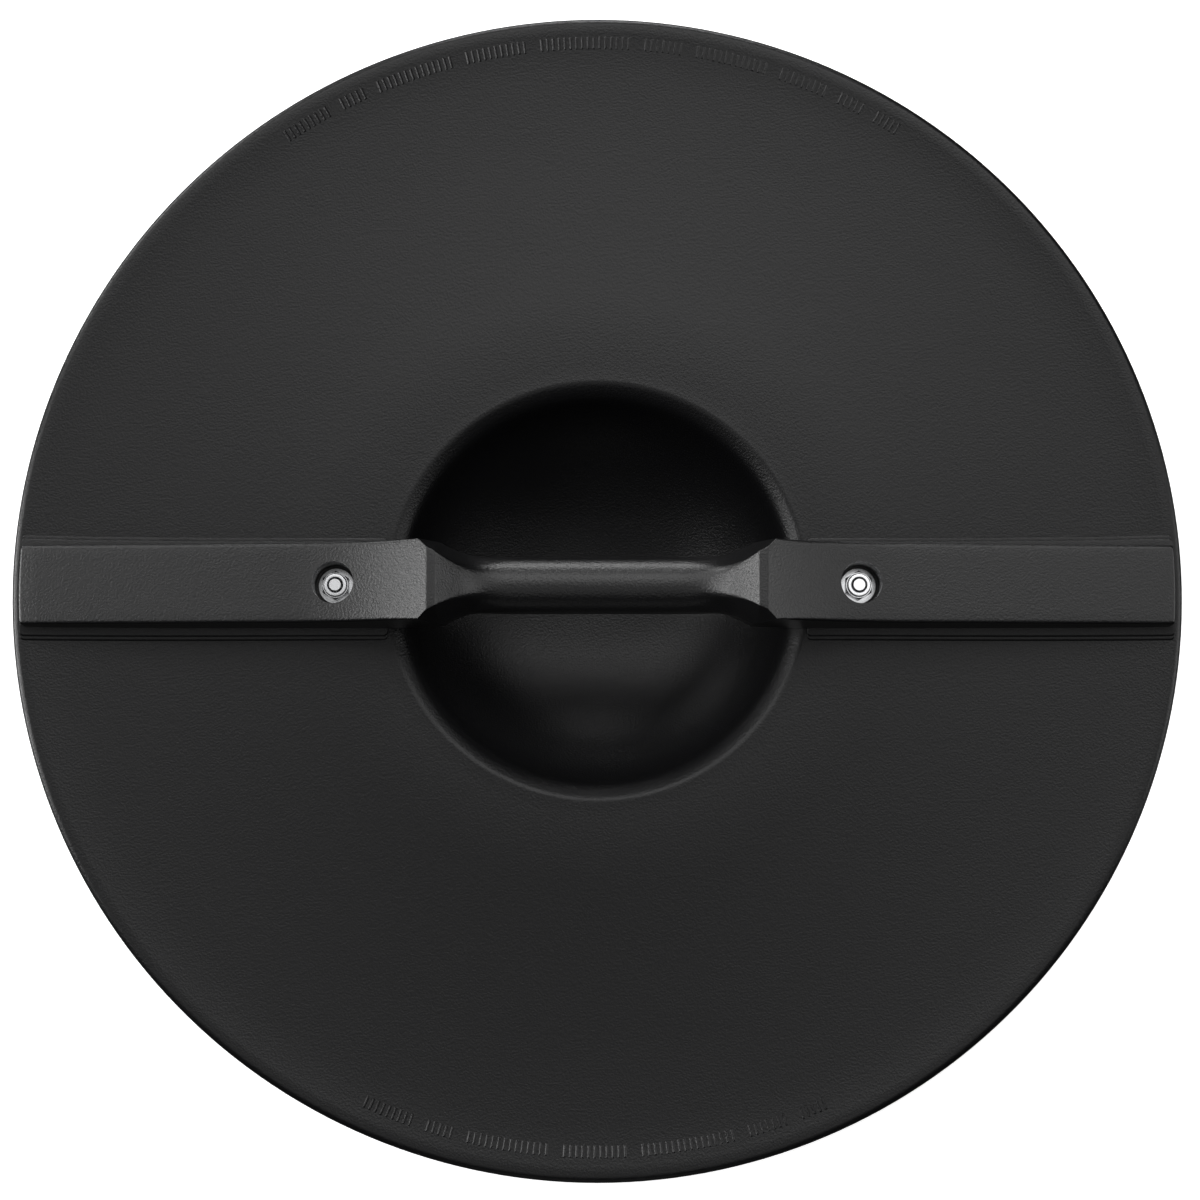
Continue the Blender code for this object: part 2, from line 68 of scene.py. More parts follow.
# The lip's finer form on the back, from the bowl's wall out to the dish: a steep cone, softly
# rounded over into the shoulder
LIP_SLOPES = (
    (84.6 * MM, math.radians(68)),
    (85.6 * MM, math.radians(57)),
    (86.8 * MM, math.radians(45)),
    (88 * MM, math.radians(37)),
    (90.2 * MM, math.radians(31)),
    (91.4 * MM, math.radians(18)),
    (92.7 * MM, math.radians(-0.5)),
    (100 * MM, math.radians(1.4)),
)


def share_between(value, start, end):
    return min(max((value - start) / (end - start), 0), 1)


def value_along(stations, position):
    """The value at a position among (position, value) stations, with even change between them."""
    for (start, value), (end, next_value) in zip(stations, stations[1:]):
        if position <= end:
            return value + (next_value - value) * share_between(position, start, end)
    return stations[-1][1]


lip_centre_radius = LIP_RADIUS + LIP_ROUNDING * math.sin(LIP_SLOPE)
bowl_wall_radius = lip_centre_radius - LIP_ROUNDING * math.sin(BOWL_WALL_ANGLE)
lip_drop = LIP_ROUNDING * (math.cos(LIP_SLOPE) - math.cos(BOWL_WALL_ANGLE))
ellipse_share = (BOWL_DEPTH - lip_drop) / (bowl_wall_radius * math.tan(BOWL_WALL_ANGLE))
bowl_end_angle = math.acos(ellipse_share / (1 - ellipse_share))
bowl_half_width = bowl_wall_radius / math.sin(bowl_end_angle)
bowl_half_depth = bowl_half_width * math.tan(BOWL_WALL_ANGLE) / math.tan(bowl_end_angle)


def bowl_point(angle, wall):
    """Radius, and height over the bowl's floor, at an angle round its elliptical section."""
    slope = math.atan2(bowl_half_depth * math.sin(angle), bowl_half_width * math.cos(angle))
    radius = bowl_half_width * math.sin(angle) + wall * math.sin(slope)
    return radius, bowl_half_depth * (1 - math.cos(angle)) - wall * math.cos(slope)


# The boss's outside meets the flat that it rests on at this angle, which sets the floor's height
BOSS_FLAT_RADIUS = 20 * MM
BOSS_ANGLES = 2000
boss_angles = [bowl_end_angle * i / BOSS_ANGLES for i in range(BOSS_ANGLES + 1)]
flat_angle = next(a for a in boss_angles if bowl_point(a, DISC_WALL)[0] >= BOSS_FLAT_RADIUS)
bowl_floor = -bowl_point(flat_angle, DISC_WALL)[1]
lip_height = bowl_floor + BOWL_DEPTH


RISE_STEPS = 64


def rise(slopes, start, end):
    """How much higher the end radius lies than the start one."""
    step = (end - start) / RISE_STEPS
    middles = [start + step * (i + 0.5) for i in range(RISE_STEPS)]
    return sum(math.tan(value_along(slopes, middle)) * step for middle in middles)


def dish_height(radius):
    return lip_height + rise(DISH_SLOPES, LIP_RADIUS, radius)


def shell_profile(wall, bowl_steps, lip_steps, dish_steps):
    """The shell's back from the bowl's middle to the rim, or its front, which lies a wall away."""
    points = []
    for i in range(bowl_steps):
        radius, height = bowl_point(bowl_end_angle * i / bowl_steps, wall)
        points.append((radius, bowl_floor + height))
    centre_height = lip_height - LIP_ROUNDING * math.cos(LIP_SLOPE)
    for i in range(lip_steps):
        slope = BOWL_WALL_ANGLE + (LIP_SLOPE - BOWL_WALL_ANGLE) * i / lip_steps
        rounding = LIP_ROUNDING - wall
        radius = lip_centre_radius - rounding * math.sin(slope)
        points.append((radius, centre_height + rounding * math.cos(slope)))
    for i in range(dish_steps + 1):
        radius = LIP_RADIUS + (DISC_RADIUS - RIM_ROUNDING - LIP_RADIUS) * i / dish_steps
        slope = value_along(DISH_SLOPES, radius)
        height = dish_height(radius) - wall * math.cos(slope)
        points.append((radius + wall * math.sin(slope), height))
    return points


def spun(profile, steps):
    """A closed solid of revolution about Z from (radius, height) points on its outline."""
    solid = bmesh.new()
    points = [solid.verts.new((radius, 0, height)) for radius, height in profile]
    edges = [solid.edges.new(pair) for pair in zip(points, points[1:])]
    bmesh.ops.spin(
        solid,
        geom=points + edges,
        axis=(0, 0, 1),
        cent=(0, 0, 0),
        angle=math.tau,
        steps=steps,
        use_merge=True,
    )
    bmesh.ops.remove_doubles(solid, verts=solid.verts, dist=0.001 * MM)
    bmesh.ops.recalc_face_normals(solid, faces=solid.faces)
    return solid


SHARP_ANGLE = math.radians(35)


def finished(name, solid, material=None, sharp_angle=SHARP_ANGLE):
    """A bmesh as an object, smooth but for its sharp edges."""
    mesh = bpy.data.meshes.new(name)
    solid.to_mesh(mesh)
    solid.free()
    mesh.shade_smooth()
    mesh.set_sharp_from_angle(angle=sharp_angle)
    piece = bpy.data.objects.new(name, mesh)
    bpy.context.scene.collection.objects.link(piece)
    if material:
        mesh.materials.append(material)
    return piece


def combine(piece, tools, operation):
    """Joins other solids to a piece or cuts them out of it, and uses them up."""
    for tool in tools:
        modifier = piece.modifiers.new(tool.name, "BOOLEAN")
        modifier.operation = operation
        modifier.solver = "EXACT"
        modifier.object = tool
    bpy.context.view_layer.update()
    evaluated = piece.evaluated_get(bpy.context.evaluated_depsgraph_get())
    mesh = bpy.data.meshes.new_from_object(evaluated)
    mesh.name = piece.name
    mesh.shade_smooth()
    mesh.set_sharp_from_angle(angle=SHARP_ANGLE)
    piece.modifiers.clear()
    piece.data = mesh
    for tool in tools:
        bpy.data.objects.remove(tool)


def linear(hex_colour):
    """An sRGB hex colour as linear RGBA."""
    channels = [int(hex_colour[i : i + 2], 16) / 255 for i in (1, 3, 5)]
    curve = [c / 12.92 if c <= 0.04045 else ((c + 0.055) / 1.055) ** 2.4 for c in channels]
    return (*curve, 1)


def add(material, kind, inputs=None, links=None, **settings):
    """Adds a node with its settings, its input values, and links from (node, output) pairs."""
    tree = material.node_tree
    node = tree.nodes.new(kind)
    for setting, value in settings.items():
        setattr(node, setting, value)
    for socket, value in (inputs or {}).items():
        node.inputs[socket].default_value = value
    for socket, (source, output) in (links or {}).items():
        tree.links.new(source.outputs[output], node.inputs[socket])
    return node


def new_material(name, colour, roughness, **sockets):
    """A material whose Principled shader has these constant values."""
    material = bpy.data.materials.new(name)
    material.use_nodes = True
    shader = material.node_tree.nodes["Principled BSDF"]
    shader.inputs["Base Color"].default_value = linear(colour)
    shader.inputs["Roughness"].default_value = roughness
    for socket, value in sockets.items():
        shader.inputs[socket].default_value = value
    return material, shader


def noise(material, size, detail):
    """A noise pattern in the piece's own space, whose patches are of about this size."""
    place = add(material, "ShaderNodeTexCoord")
    inputs = {"Scale": 1 / size, "Detail": detail}
    return add(material, "ShaderNodeTexNoise", inputs, {"Vector": (place, "Object")})


# Polypropylene moulded against a spark-eroded face has a soft, even sheen that spreads wide. Its
# grain is about 0.3 mm, drawn at 0.9 mm so that it shows, and slow, faint waves tell of shrinkage.
GRAIN_SIZE = 0.9 * MM
GRAIN_DEPTH = 0.18 * MM
WAVE_SIZE = 45 * MM
WAVE_DEPTH = 1 * MM
disc_plastic, disc_shader = new_material(
    "black polypropylene, spark-eroded grain",
    "#070708",
    0.34,
    IOR=1.49,
    **{"Specular IOR Level": 0.32},
)
wave_bump = add(
    disc_plastic,
    "ShaderNodeBump",
    {"Strength": 0.12, "Distance": WAVE_DEPTH},
    {"Height": (noise(disc_plastic, WAVE_SIZE, 1.0), "Fac")},
)
grain_bump = add(
    disc_plastic,
    "ShaderNodeBump",
    {"Strength": 1.0, "Distance": GRAIN_DEPTH},
    {"Height": (noise(disc_plastic, GRAIN_SIZE, 3.0), "Fac"), "Normal": (wave_bump, "Normal")},
)
disc_plastic.node_tree.links.new(grain_bump.outputs["Normal"], disc_shader.inputs["Normal"])

LIP_START, LIP_END = LIP_SLOPES[0][0], LIP_SLOPES[-1][0]
LIP_STEPS = 40
back = shell_profile(0, bowl_steps=36, lip_steps=1, dish_steps=40)
lip_radii = [LIP_START + (LIP_END - LIP_START) * i / LIP_STEPS for i in range(LIP_STEPS)]
lip_end_height = dish_height(LIP_END)
lip = [(radius, lip_end_height - rise(LIP_SLOPES, radius, LIP_END)) for radius in lip_radii]
bowl = [point for point in back if point[0] < LIP_START]
dish = [point for point in back if point[0] > LIP_END]
front = shell_profile(DISC_WALL, bowl_steps=24, lip_steps=6, dish_steps=15)
rim_height = dish_height(DISC_RADIUS - RIM_ROUNDING) - RIM_ROUNDING
RIM_STEPS = 12
rim = []
for i in range(1, RIM_STEPS):
    turn = math.pi * i / RIM_STEPS
    radius = DISC_RADIUS - RIM_ROUNDING * (1 - math.sin(turn))
    rim.append((radius, rim_height + RIM_ROUNDING * math.cos(turn)))
# What the boss's flat cuts off its outside is left out
outside = [point for point in front[:-1] if point[0] > BOSS_FLAT_RADIUS or point[1] > 1 * MM]
disc_outline = bowl + lip + dish + rim + outside[::-1] + [(BOSS_FLAT_RADIUS, 0), (0, 0)]
shield_disc = finished("shield_disc_dressed", spun(disc_outline, DISC_TURN_STEPS), disc_plastic)

# Pads: low steps on each side of the boss, their upright walls softly rounded over as the mould
# leaves them
PAD_INNER_END = LIP_RADIUS - 1.3 * MM
PAD_OUTER_END = DISC_RADIUS - 4.4 * MM
PAD_STEP = 1.2 * MM
PAD_STEP_WIDTH = 1.7 * MM
PAD_ROOT = 3 * MM
ARM_BASE_WIDTH = 35 * MM
PAD_MARGIN_AT_BOSS = 4.95 * MM
PAD_MARGIN_AT_RIM = 5.5 * MM
PAD_EDGE_ROUNDING = 1 * MM
PAD_CORNER_ROUNDING = 1.7 * MM
PAD_CORNER_STEPS = 5
PAD_EDGE_STEPS = 6
PAD_STATION = 6 * MM


def tube(name, sections, material=None):
    """A skin drawn along closed sections, each of as many points, and closed at its ends."""
    solid = bmesh.new()
    bmesh.ops.create_circle(solid, segments=len(sections[0]), radius=1)
    ring = solid.verts[:] + solid.edges[:]
    steps = len(sections) - 1
    bmesh.ops.spin(solid, geom=ring, dvec=(0, 0, 1), axis=(0, 0, 1), angle=0, steps=steps)
    solid.verts.ensure_lookup_table()
    for i, point in enumerate(point for section in sections for point in section):
        solid.verts[i].co = point
    bmesh.ops.holes_fill(solid, edges=[edge for edge in solid.edges if edge.is_boundary])
    bmesh.ops.remove_doubles(solid, verts=solid.verts, dist=0.002 * MM)
    bmesh.ops.dissolve_degenerate(solid, edges=solid.edges, dist=0.001 * MM)
    bmesh.ops.recalc_face_normals(solid, faces=solid.faces)
    return finished(name, solid, material)


def spread(start, end, step):
    """Even steps of about this size from the start up to the end, which is left out."""
    count = max(round(abs(end - start) / step), 1)
    return [start + (end - start) * i / count for i in range(count)]


turns = [math.pi / 2 * i / PAD_CORNER_STEPS for i in range(PAD_CORNER_STEPS)]
corner_steps = [PAD_CORNER_ROUNDING * (1 - math.cos(turn)) for turn in turns]
pad_distances = [PAD_INNER_END + step for step in corner_steps]
straight_start = PAD_INNER_END + PAD_CORNER_ROUNDING
straight_end = PAD_OUTER_END - PAD_CORNER_ROUNDING
pad_distances += spread(straight_start, straight_end, PAD_STATION) + [straight_end]
pad_distances += [PAD_OUTER_END - step for step in reversed(corner_steps)]
pads = []
for sign in (-1, 1):
    for step in (1, 2):
        sections = []
        for distance in pad_distances:
            from_end = min(distance - PAD_INNER_END, PAD_OUTER_END - distance)
            into_corner = max(PAD_CORNER_ROUNDING - from_end, 0)
            share = share_between(distance, PAD_INNER_END, PAD_OUTER_END)
            margin = PAD_MARGIN_AT_BOSS + (PAD_MARGIN_AT_RIM - PAD_MARGIN_AT_BOSS) * share
            half = ARM_BASE_WIDTH / 2 + margin - (step - 1) * PAD_STEP_WIDTH
            half -= PAD_CORNER_ROUNDING - math.sqrt(PAD_CORNER_ROUNDING**2 - into_corner**2)
            top = dish_height(max(distance, LIP_RADIUS)) + step * PAD_STEP
            side = [(half, top - step * PAD_STEP - PAD_ROOT)]
            for k in range(PAD_EDGE_STEPS + 1):
                turn = math.pi / 2 * k / PAD_EDGE_STEPS
                across = half - PAD_EDGE_ROUNDING * (1 - math.cos(turn))
                side.append((across, top - PAD_EDGE_ROUNDING * (1 - math.sin(turn))))
            outline = side + [(-across, height) for across, height in reversed(side)]
            sections.append([(sign * distance, across, height) for across, height in outline])
        pads.append(tube(f"pad_{sign}_{step}", sections))
combine(shield_disc, pads, "UNION")

# Marks: two rows of low raised strokes along the rim, plain drafted bars that spell nothing. A row
# gives its first and last angle and its inner and outer radius.
MARK_ROWS = (
    (math.radians(124.6), math.radians(56.2), 240.2 * MM, 245.8 * MM),
    (math.radians(245.6), math.radians(294), 238.2 * MM, 243.5 * MM),
)
MARK_PITCH = 2.6 * MM
MARK_WIDTH = 1.3 * MM
MARK_PROUD = 0.4 * MM
MARK_FLANK = 0.5 * MM
# How many strokes stand in each group of a row, before a gap of two
MARK_GROUPS = (9, 5, 14, 11, 16, 7, 13)
MARK_GAP = 2
stands = [i < count for count in MARK_GROUPS for i in range(count + MARK_GAP)]
marks = bmesh.new()
for first, last, inner, outer in MARK_ROWS:
    step = math.copysign(MARK_PITCH / outer, last - first)
    radius = (inner + outer) / 2
    for i in range(int((last - first) / step)):
        if not stands[i % len(stands)]:
            continue
        place = Matrix.Rotation(first + (i + 0.5) * step, 4, "Z")
        place @= Matrix.Translation((radius, 0, dish_height(radius)))
        place @= Matrix.Rotation(-value_along(DISH_SLOPES, radius), 4, "Y")
        for point in bmesh.ops.create_cube(marks, size=2)["verts"]:
            along, sideways, up = point.co
            half_length = (outer - inner) / 2 - MARK_FLANK * up
            half_width = MARK_WIDTH / 2 - MARK_FLANK * up
            corner = Vector((along * half_length, sideways * half_width, MARK_PROUD * up))
            point.co = place @ corner
combine(shield_disc, [finished("marks", marks)], "UNION")

# Bolt seats: a flat round boss on the shield's front at each bolt, with the bolt's hole
BOLT_OFFSET = 112.5 * MM
BOLT_HOLE_RADIUS = 3.6 * MM
BOLT_SEAT_RADIUS = 12 * MM
BOLT_SEAT_PROUD = 2 * MM
BOLT_SEAT_ROUNDING = 0.8 * MM
BOLT_SEAT_STEPS = 4
ROUND_STEPS = 64
bolt_seat_face = dish_height(BOLT_OFFSET) - DISC_WALL - BOLT_SEAT_PROUD
seat_root = dish_height(BOLT_OFFSET) - PAD_ROOT
seat_outline = [(0, seat_root), (BOLT_SEAT_RADIUS, seat_root)]
for i in range(BOLT_SEAT_STEPS + 1):
    turn = math.pi / 2 * i / BOLT_SEAT_STEPS
    radius = BOLT_SEAT_RADIUS - BOLT_SEAT_ROUNDING * (1 - math.cos(turn))
    seat_outline.append((radius, bolt_seat_face + BOLT_SEAT_ROUNDING * (1 - math.sin(turn))))
seat_outline.append((0, bolt_seat_face))
seats = []
for sign in (-1, 1):
    seat = spun(seat_outline, ROUND_STEPS)
    # Turned by half a step, so that the edges of its face don't run into the corners of the hole
    half_step = Matrix.Rotation(math.pi / ROUND_STEPS, 3, "Z")
    bmesh.ops.rotate(seat, verts=seat.verts, cent=(0, 0, 0), matrix=half_step)
    bmesh.ops.translate(seat, verts=seat.verts, vec=(sign * BOLT_OFFSET, 0, 0))
    seats.append(finished(f"bolt_seat_{sign}", seat))
combine(shield_disc, seats, "UNION")


def round_cutter(name, x, radius, bottom, top):
    cutter = bmesh.new()
    bmesh.ops.create_cone(
        cutter,
        cap_ends=True,
        segments=ROUND_STEPS,
        radius1=radius,
        radius2=radius,
        depth=top - bottom,
    )
    bmesh.ops.translate(cutter, verts=cutter.verts, vec=(x, 0, (top + bottom) / 2))
    return finished(name, cutter)


# How far a cutter runs past the seat, and past the disc's back or front
PAST_SEAT = 5 * MM
PAST_DISC = 20 * MM
holes = []
for sign in (-1, 1):
    name, x = f"disc_hole_{sign}", sign * BOLT_OFFSET
    bottom, top = bolt_seat_face - PAST_SEAT, lip_height + PAST_DISC
    holes.append(round_cutter(name, x, BOLT_HOLE_RADIUS, bottom, top))
combine(shield_disc, holes, "DIFFERENCE")
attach(shield_disc, "root")
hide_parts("shield_disc")


# Handle bar: one thick polypropylene moulding, a little smoother than the disc and bolted to it.
# Its two arms lie on the pads and thicken to a sharp crest with cut corners, and between the crests
# it narrows to a round grip.
ARM_RIM_MARGIN = 5.7 * MM
ARM_THICKNESS_AT_RIM = 9 * MM
ARM_SIDE_DRAFT = 0.5 * MM
ARM_TOP_SLOPE = math.radians(3.5)
SWEEP_RADIUS = 140 * MM
CREST = 71.5 * MM
SWEEP_START = CREST + 62.1 * MM
CORNER_CUT = 3.8 * MM
CORNER_DROP = 22 * MM
CORNER_START = CREST + CORNER_CUT
LAND_END = CREST - 3.5 * MM
LAND_NARROWING = 1.7 * MM
NOSE_SIDE_END = LAND_END - 1.3 * MM
NOSE_BASE_INSET = 0.9 * MM
NOSE_SLOPE = math.radians(45)
NOSE_FALL = 10.2 * MM
NOSE_SWEEP_START = LAND_END - NOSE_FALL
NOSE_FLARE_RADIUS = 36 * MM
NOSE_RIDGE_END_WIDTH = 8.8 * MM
NOSE_RIDGE_END = 44 * MM
GRIP_RADIUS = 12.2 * MM
GRIP_DROP = 5.5 * MM
FIT_GAP = 0.3 * MM
ARM_END = DISC_RADIUS - ARM_RIM_MARGIN


def arm_base(distance):
    return dish_height(max(distance, PAD_INNER_END)) + 2 * PAD_STEP + FIT_GAP


arm_end_top = arm_base(PAD_OUTER_END) + ARM_THICKNESS_AT_RIM


def arm_top(distance):
    """An even rise from the rim, then a sweep that steepens up to the crest."""
    even = arm_end_top + (ARM_END - max(distance, SWEEP_START)) * math.tan(ARM_TOP_SLOPE)
    sine = math.sin(ARM_TOP_SLOPE) + max(SWEEP_START - distance, 0) / SWEEP_RADIUS
    return even + SWEEP_RADIUS * (math.cos(ARM_TOP_SLOPE) - math.sqrt(1 - sine * sine))


grip_axis = arm_end_top - GRIP_DROP
grip_top = grip_axis + GRIP_RADIUS
nose_sweep_top = arm_top(CREST) - NOSE_FALL * math.tan(NOSE_SLOPE)
nose_sweep_radius = (nose_sweep_top - grip_top) / (1 - math.cos(NOSE_SLOPE))
GRIP_END = NOSE_SWEEP_START - nose_sweep_radius * math.sin(NOSE_SLOPE)


def sharp_bar_top(distance):
    if distance >= NOSE_SWEEP_START:
        return arm_top(max(distance, CREST)) - max(LAND_END - distance, 0) * math.tan(NOSE_SLOPE)
    along = max(distance - GRIP_END, 0)
    return grip_top + nose_sweep_radius - math.sqrt(nose_sweep_radius**2 - along**2)


CREST_BLEND = 0.45 * MM
BLEND_STEPS = 4


def bar_top(distance):
    """Top of the bar, with the crest's edges rounded as a mean over their near surroundings."""
    steps = range(-BLEND_STEPS, BLEND_STEPS + 1)
    return sum(sharp_bar_top(distance + CREST_BLEND * i / BLEND_STEPS) for i in steps) / len(steps)


def bar_base(distance):
    grip_base = grip_axis - GRIP_RADIUS
    share = share_between(distance, GRIP_END, NOSE_SIDE_END)
    return grip_base + (arm_base(distance) - grip_base) * share


def bar_half_width(distance):
    """Half the bar's greatest width: the arm's, then a hollow flare down to the grip."""
    rise = ARM_BASE_WIDTH / 2 - GRIP_RADIUS
    flare = math.sqrt(NOSE_FLARE_RADIUS**2 - (NOSE_FLARE_RADIUS - rise) ** 2)
    along = min(max(distance - (NOSE_SIDE_END - flare), 0), flare)
    return GRIP_RADIUS + NOSE_FLARE_RADIUS - math.sqrt(NOSE_FLARE_RADIUS**2 - along**2)


def knee_height(distance):
    """Height of the line along the bar's side that the crest's cut corners run down to."""
    heights = [(GRIP_END, grip_axis)]
    heights.append((NOSE_SIDE_END, arm_top(CREST) - CORNER_DROP))
    heights.append((CORNER_START, arm_top(CORNER_START) - KNEE_CHAMFER))
    heights += [(end, (arm_top(end) + arm_base(end)) / 2) for end in (PAD_INNER_END, ARM_END)]
    return value_along(heights, distance)


def ridge_half_width(distance):
    """Half the width of the flat top: the arm's, cut at the crest, then a flare to the grip."""
    arm = ARM_BASE_WIDTH / 2 - ARM_SIDE_DRAFT
    if distance >= LAND_END:
        crest = arm - CORNER_CUT
        widths = ((LAND_END, crest - LAND_NARROWING), (CREST, crest), (CORNER_START, arm))
        return value_along(widths, distance)
    rise = arm - CORNER_CUT - LAND_NARROWING - NOSE_RIDGE_END_WIDTH / 2
    run = LAND_END - NOSE_RIDGE_END
    flare_radius = (rise**2 + run**2) / (2 * rise)
    along = max(distance - NOSE_RIDGE_END, 0)
    return NOSE_RIDGE_END_WIDTH / 2 + flare_radius - math.sqrt(flare_radius**2 - along**2)


CREST_EDGE_ROUNDING = 0.7 * MM
ARM_EDGE_ROUNDING = 1.7 * MM
KNEE_CHAMFER = 0.6 * MM
ARC_POINTS = 7
RUN_POINTS = 4
# An arc starts at least this far from its corner, and at most this share of the shorter side
LEAST_REACH = 0.3 * MM
MOST_REACH = 0.45


def rounded_run(corners, radius):
    """Points along a line through corners, with an arc at each corner and even steps between."""
    corners = [Vector(corner) for corner in corners]
    points = [corners[0]]
    for before, corner, after in zip(corners, corners[1:], corners[2:]):
        to_before, to_after = before - corner, after - corner
        lengths = to_before.length, to_after.length
        if min(lengths) < 0.01 * MM:
            arc = [corner] * (ARC_POINTS + 1)
        else:
            to_before.normalize()
            to_after.normalize()
            opening = to_before.angle(to_after)
            reach = max(radius / math.tan(opening / 2), LEAST_REACH)
            reach = min(reach, MOST_REACH * min(lengths))
            start, end = corner + to_before * reach, corner + to_after * reach
            arc = []
            for i in range(ARC_POINTS + 1):
                t = i / ARC_POINTS
                arc.append(start * (1 - t) ** 2 + corner * 2 * t * (1 - t) + end * t * t)
        points += [points[-1].lerp(arc[0], i / RUN_POINTS) for i in range(1, RUN_POINTS)] + arc
    last = points[-1]
    return points + [last.lerp(corners[-1], i / RUN_POINTS) for i in range(1, RUN_POINTS + 1)]


ARM_END_ROUNDING = 1.2 * MM
# The arm's long edges grow softer over this stretch, from the crest's cut corners outwards
SOFTENING_RUN = 15 * MM


def bar_section(x):
    """Section of the bar at x, from its top round by +Y to its underside and back."""
    distance = abs(x)
    # The end's edges turn in over the last stretch, as a quarter circle does
    into_end = max(distance - (ARM_END - ARM_END_ROUNDING), 0)
    inset = ARM_END_ROUNDING - math.sqrt(max(ARM_END_ROUNDING**2 - into_end**2, 0))
    top, base = bar_top(min(distance, ARM_END)) - inset, bar_base(min(distance, ARM_END))
    width, ridge = bar_half_width(distance) - inset, ridge_half_width(distance) - inset
    knee = min(knee_height(distance), top - KNEE_CHAMFER)
    # The arm's side leans in towards its top, and stands upright where the nose begins
    lean = ARM_SIDE_DRAFT * (knee - base) / (top - base)
    knee_point = (width - lean * share_between(distance, NOSE_SIDE_END, CORNER_START), knee)
    base_inset = NOSE_BASE_INSET * (1 - share_between(distance, NOSE_SIDE_END, PAD_INNER_END))
    corners = [(0, top), (ridge, top), knee_point, (width - base_inset, base), (0, base)]
    softer = share_between(distance, CORNER_START, CORNER_START + SOFTENING_RUN)
    rounding = CREST_EDGE_ROUNDING + (ARM_EDGE_ROUNDING - CREST_EDGE_ROUNDING) * softer
    outline = rounded_run(corners, rounding)
    count = len(outline) - 1
    straight = share_between(distance, GRIP_END, NOSE_SIDE_END)
    roundness = 1 - straight * straight * (3 - 2 * straight)
    points = []
    for i, point in enumerate(outline):
        angle = math.pi / 2 - math.pi * i / count
        circle = Vector((math.cos(angle) * width, base + (top - base) * (1 + math.sin(angle)) / 2))
        points.append(point.lerp(circle, roundness))
    outline = points + [Vector((-point.x, point.y)) for point in reversed(points[1:-1])]
    # The outer stretch bends to the rim's curve
    bend = share_between(distance, SWEEP_START, ARM_END)
    section = []
    for across, height in outline:
        along = distance - bend * (ARM_END - math.sqrt(ARM_END**2 - across**2))
        section.append((math.copysign(along, x), across, height))
    return section


# Where each stretch of the bar starts, from its middle out, and how close its stations stand
STRETCHES = (
    (0, 6 * MM),
    (GRIP_END, 1 * MM),
    (NOSE_SIDE_END, 0.2 * MM),
    (CREST + 1 * MM, 0.4 * MM),
    (CORNER_START, 1 * MM),
    (CORNER_START + 3 * MM, 3 * MM),
    (SWEEP_START, 8 * MM),
)
END_STATIONS = 6
stretch_ends = [start for start, _ in STRETCHES[1:]] + [ARM_END - ARM_END_ROUNDING]
stations = []
for (start, step), end in zip(STRETCHES, stretch_ends):
    stations += spread(start, end, step)
for i in range(END_STATIONS + 1):
    turn = math.pi / 2 * i / END_STATIONS
    stations.append(ARM_END - ARM_END_ROUNDING * (1 - math.sin(turn)))
stations = [-distance for distance in reversed(stations[1:])] + stations

# The same polypropylene from a finer-eroded mould: satin, a shade brighter in its sheen, with the
# same size of grain
BAR_GRAIN_DEPTH = 0.2 * MM
bar_plastic, bar_shader = new_material("black polypropylene, satin", "#070708", 0.33, IOR=1.49)
grain_bump = add(
    bar_plastic,
    "ShaderNodeBump",
    {"Strength": 1.0, "Distance": BAR_GRAIN_DEPTH},
    {"Height": (noise(bar_plastic, GRAIN_SIZE, 3.0), "Fac")},
)
bar_plastic.node_tree.links.new(grain_bump.outputs["Normal"], bar_shader.inputs["Normal"])
handle_bar = tube("handle_bar_dressed", [bar_section(x) for x in stations], bar_plastic)

# Counterbore down to the washer, and the bolt's hole, in each arm
COUNTERBORE_RADIUS = 9 * MM
WASHER_SINK = 16.5 * MM
WASHER_TOP = arm_top(BOLT_OFFSET) - WASHER_SINK
WASHER_THICKNESS = 1.6 * MM
PAST_BAR = 10 * MM
cutters = []
for sign in (-1, 1):
    x, top = sign * BOLT_OFFSET, arm_top(BOLT_OFFSET) + PAST_BAR
    seat, bottom = WASHER_TOP - WASHER_THICKNESS - FIT_GAP, lip_height - PAST_DISC
    cutters.append(round_cutter(f"counterbore_{sign}", x, COUNTERBORE_RADIUS, seat, top))
    cutters.append(round_cutter(f"bar_hole_{sign}", x, BOLT_HOLE_RADIUS, bottom, top))
combine(handle_bar, cutters, "DIFFERENCE")
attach(handle_bar, "root")
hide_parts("handle_bar")


# Bolts: quarter-inch carriage bolts of zinc-plated steel, put in from the shield's front. The domed
# head is cold-formed, and the end has a chamfer and the last turns of the rolled thread.
THREAD_PITCH = 1.27 * MM
THREAD_DEPTH = 0.45 * MM
THREAD_TURNS = 14
BOLT_RADIUS = 3.1 * MM
BOLT_END_CHAMFER = 0.6 * MM
BOLT_HEAD_RADIUS = 8 * MM
BOLT_HEAD_HEIGHT = 4 * MM
BOLT_HEAD_RIM = 0.5 * MM
BOLT_HEAD_BREAK = 0.2 * MM
DOME_STEPS = 14
NUT_HEX_HEIGHT = 3.7 * MM
COLLAR_HEIGHT = 1.8 * MM
BOLT_STANDS_OUT = 0.7 * MM
NUT_BASE = WASHER_TOP + FIT_GAP
NUT_HEX_TOP = NUT_BASE + NUT_HEX_HEIGHT
NUT_TOP = NUT_HEX_TOP + COLLAR_HEIGHT
BOLT_END = NUT_TOP + BOLT_STANDS_OUT

